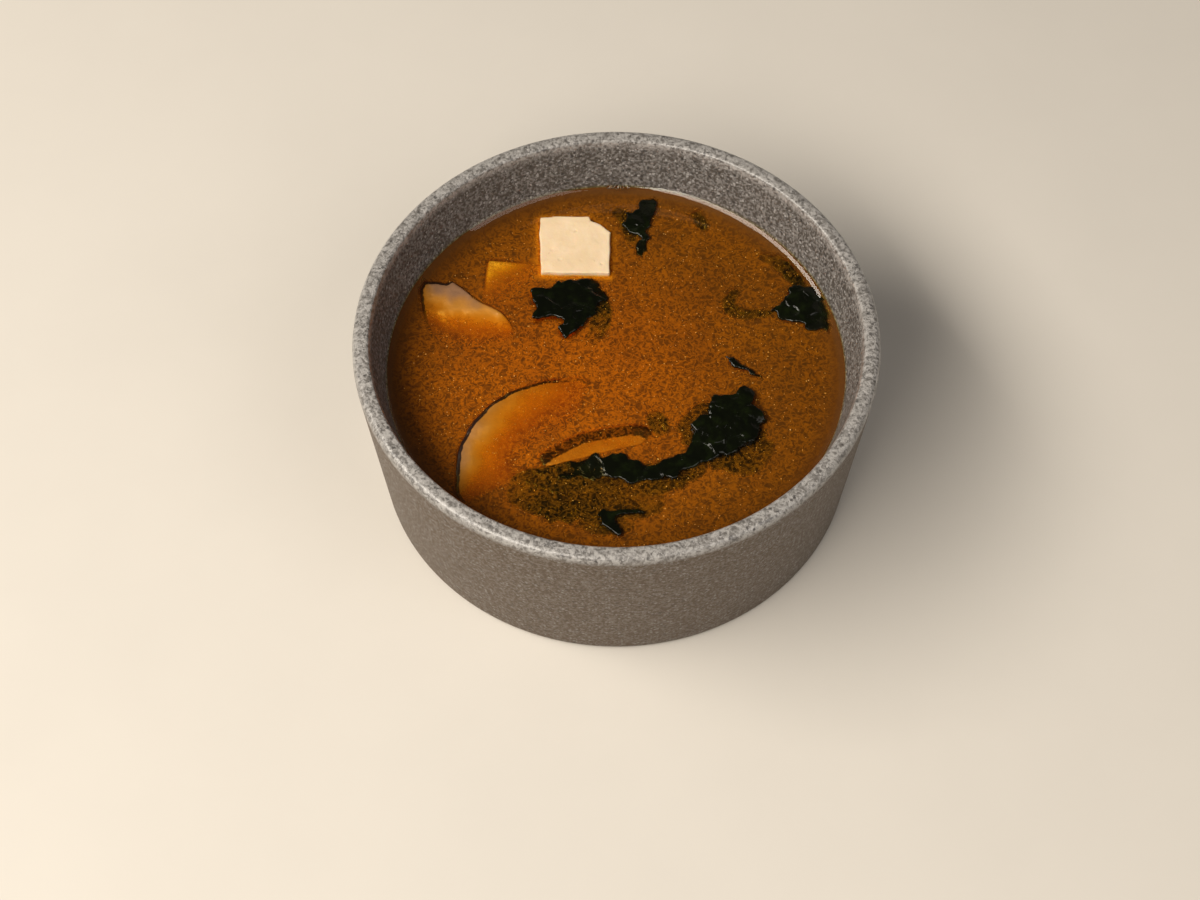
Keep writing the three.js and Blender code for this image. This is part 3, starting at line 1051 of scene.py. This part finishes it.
class MISO_OT_wakame(bpy.types.Operator):
    """Makes the seaweed leaves, the floating ones and the sunk ones"""

    bl_idname = "miso.wakame"
    bl_label = "Wakame"

    def execute(self, context):
        look = seaweed(context.scene.miso_pieces)
        for seed, node in enumerate(sorted(frame["nodes"])):  # each leaf has its own seed
            if not node.startswith("wakame"):
                continue
            obj = from_cad(node, 0.25 * MM)
            apply(obj, "SMOOTH", factor=0.5, iterations=3)
            ruffle(obj, 3.4 * MM, 1.9 * MM, seed)
            ruffle(obj, 1.1 * MM, 0.35 * MM, 3 * seed)
            roughen(obj, 2.2 * MM, 0.3 * MM, seed)
            settle(obj, node + "_leaf", look, "seaweed", node, in_soup=True)
        for name, (spine, width) in SUNK_LEAVES.items():
            settle(ribbon(spine, width), name, look, "seaweed", in_soup=True)
        return {"FINISHED"}


def along(points, t):
    """The place on a smooth line through the points, for t from 0 to 1."""
    last = len(points) - 1
    i = min(int(t * last), last - 1)
    u = t * last - i
    a, b, c, d = (Vector(points[min(max(k, 0), last)]) for k in (i - 1, i, i + 1, i + 2))
    return 0.5 * (
        2 * b + (c - a) * u + (2 * a - 5 * b + 4 * c - d) * u * u + (3 * b - a - 3 * c + d) * u**3
    )


def ribbon(spine, width):
    """A sunk leaf: a grid laid along a smooth line, waved, with a ragged edge."""
    deselect()
    rows, columns = 10 * len(spine), 12
    shallowest = min(depth for _, _, depth in spine) - 0.1
    bpy.ops.mesh.primitive_grid_add(x_subdivisions=rows, y_subdivisions=columns, size=1)
    obj = bpy.context.object
    for vertex in obj.data.vertices:
        t, side = vertex.co.x + 0.5, 2 * vertex.co.y
        place = along(spine, min(t, 0.999))
        ahead = along(spine, min(t + 0.01, 1)) - along(spine, max(t - 0.01, 0))
        across = Vector((-ahead.y, ahead.x, 0)).normalized()
        half = width / 2 * (0.25 + 0.75 * math.sin(math.pi * t) ** 0.5)
        rag = noise.noise(Vector((spine[0][0], 14 * t, side)))
        place += across * half * side * (1 + 0.35 * rag)
        wave = noise.noise(place / 2.6) * 0.4 + 0.15 * math.cos(5 * side)
        vertex.co = Vector((place.x, place.y, -max(place.z + wave, shallowest))) * MM
        vertex.co.z += SOUP_LEVEL
    obj.data.update()
    apply(obj, "SOLIDIFY", thickness=LEAF_THICKNESS, offset=0)
    apply(obj, "SUBSURF", levels=1, render_levels=1)
    choose(obj)
    bpy.ops.object.shade_smooth()
    return obj


class MISO_OT_bubbles(bpy.types.Operator):
    """Makes the small bubbles that cling to the wall at the back"""

    bl_idname = "miso.bubbles"
    bl_label = "Bubbles"

    def execute(self, context):
        b, s = context.scene.miso_bowl, context.scene.miso_soup
        deselect()
        made = []
        reach = inner_radius(SOUP_LEVEL, b) - BUBBLE_CLEARANCE
        for degrees, radius in BUBBLES:
            turn = math.radians(degrees)
            place = (reach * math.cos(turn), reach * math.sin(turn), SOUP_LEVEL + s.meniscus)
            bpy.ops.mesh.primitive_uv_sphere_add(
                segments=24, ring_count=12, radius=radius * MM, location=place
            )
            bpy.ops.object.mode_set(mode="EDIT")
            bpy.ops.mesh.select_all(action="SELECT")
            bpy.ops.transform.resize(value=(1, 1, 0.8), center_override=place)
            bpy.ops.object.mode_set(mode="OBJECT")
            made.append(context.object)
        for bubble in made:
            bubble.select_set(True)
        bpy.ops.object.join()
        bpy.ops.object.shade_smooth()
        settle(context.object, "miso_bubbles", bubble_film(), "broth")
        return {"FINISHED"}


class MISO_OT_flecks(bpy.types.Operator):
    """Scatters pale flecks of miso under the surface"""

    bl_idname = "miso.flecks"
    bl_label = "Flecks"

    def execute(self, context):
        draw = random.Random(11)
        b, s = context.scene.miso_bowl, context.scene.miso_soup
        reach = inner_radius(SOUP_LEVEL, b) - FLECK_CLEARANCE
        deselect()
        bpy.ops.mesh.primitive_ico_sphere_add(subdivisions=1, radius=1)
        flecks = context.object
        shape = [vertex.co.copy() for vertex in flecks.data.vertices]
        faces = [tuple(face.vertices) for face in flecks.data.polygons]
        points, polygons = [], []
        for _ in range(context.scene.miso_pieces.fleck_count):
            radius, angle = reach * math.sqrt(draw.random()), draw.uniform(0, 2 * math.pi)
            size = FLECK_RADIUS * (1 + 0.9 * draw.random() ** 3)
            z = SOUP_LEVEL - s.haze_depth + draw.uniform(-0.1, 0.35) * MM
            centre = Vector((radius * math.cos(angle), radius * math.sin(angle), z))
            stretch = Vector([size * draw.uniform(0.7, 1.3) for _ in range(3)])
            start = len(points)
            points += [centre + p * stretch for p in shape]
            polygons += [tuple(i + start for i in face) for face in faces]
        flecks.data.clear_geometry()
        flecks.data.from_pydata(points, [], polygons)
        flecks.data.update()
        settle(flecks, "miso_flecks", fleck_material(), "broth")
        return {"FINISHED"}


class MISO_OT_studio(bpy.types.Operator):
    """Makes the camera, the floor and the lights"""

    bl_idname = "miso.studio"
    bl_label = "Studio"

    def execute(self, context):
        s = context.scene.miso_studio
        deselect()
        aim = Vector(s.camera_aim)
        bpy.ops.object.camera_add(location=s.camera_place)
        camera = context.object
        camera.rotation_euler = (aim - Vector(s.camera_place)).to_track_quat("-Z", "Y").to_euler()
        camera.data.lens = s.lens
        camera.data.sensor_width = 36
        context.scene.camera = camera
        deselect()
        bpy.ops.mesh.primitive_circle_add(vertices=96, radius=FLOOR_RADIUS, fill_type="NGON")
        ground = context.object
        ground.name = "floor"
        ground.data.materials.append(floor_material(s))
        ground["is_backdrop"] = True
        self.lamp("key", (-0.62, -0.33, 0.84), (1.5, 0.4), s.key_power, (1.0, 0.93, 0.83))
        self.lamp("fill", (0.6, -0.52, 0.85), (0.7, 0.7), 0.16 * s.key_power, (1.0, 0.95, 0.9))
        context.scene.view_settings.view_transform = "Standard"
        self.surroundings(context.scene)
        return {"FINISHED"}

    def lamp(self, name, place, size, power, tint):
        """An area lamp that points at the middle of the bowl's base."""
        bpy.ops.object.light_add(type="AREA", location=place)
        lamp = bpy.context.object
        lamp.name = name
        lamp.data.shape = "RECTANGLE"
        lamp.data.size, lamp.data.size_y = size
        lamp.data.energy = power
        lamp.data.color = tint
        lamp.rotation_euler = (-Vector(place)).to_track_quat("-Z", "Y").to_euler()

    def surroundings(self, scene):
        """A pale backdrop for the camera, which lights the scene only a little."""
        scene.world = bpy.data.worlds.new("Studio")
        scene.world.use_nodes = True
        tree = scene.world.node_tree
        back = tree.nodes["Background"]
        back.inputs["Color"].default_value = (1, 0.97, 0.93, 1)
        path = tree.nodes.new("ShaderNodeLightPath")
        seen = maths(tree, "MULTIPLY", path.outputs["Is Camera Ray"], 0.6)
        connect(tree, maths(tree, "ADD", seen, 0.05), back.inputs["Strength"])


class MISO_PT_panel(bpy.types.Panel):
    """Lists the steps that make the soup"""

    bl_idname = "MISO_PT_panel"
    bl_label = "Miso Soup"
    bl_space_type = "VIEW_3D"
    bl_region_type = "UI"
    bl_category = "Miso Soup"

    def draw(self, context):
        for step in STEPS:
            self.layout.operator(step.bl_idname)


STEPS = (
    MISO_OT_studio,
    MISO_OT_bowl,
    MISO_OT_tofu,
    MISO_OT_mushrooms,
    MISO_OT_wakame,
    MISO_OT_soup,
    MISO_OT_bubbles,
    MISO_OT_flecks,
)
SETTINGS = {
    "miso_bowl": BowlSettings,
    "miso_soup": SoupSettings,
    "miso_pieces": PieceSettings,
    "miso_studio": StudioSettings,
}


def register():
    for kind in (*SETTINGS.values(), *STEPS, MISO_PT_panel):
        bpy.utils.register_class(kind)
    for name, kind in SETTINGS.items():
        setattr(bpy.types.Scene, name, PointerProperty(type=kind))


def unregister():
    for name in SETTINGS:
        delattr(bpy.types.Scene, name)
    for kind in reversed((*SETTINGS.values(), *STEPS, MISO_PT_panel)):
        bpy.utils.unregister_class(kind)


def main():
    register()
    for step in STEPS:
        getattr(bpy.ops.miso, step.bl_idname.split(".")[1])()


if __name__ == "__main__":
    main()
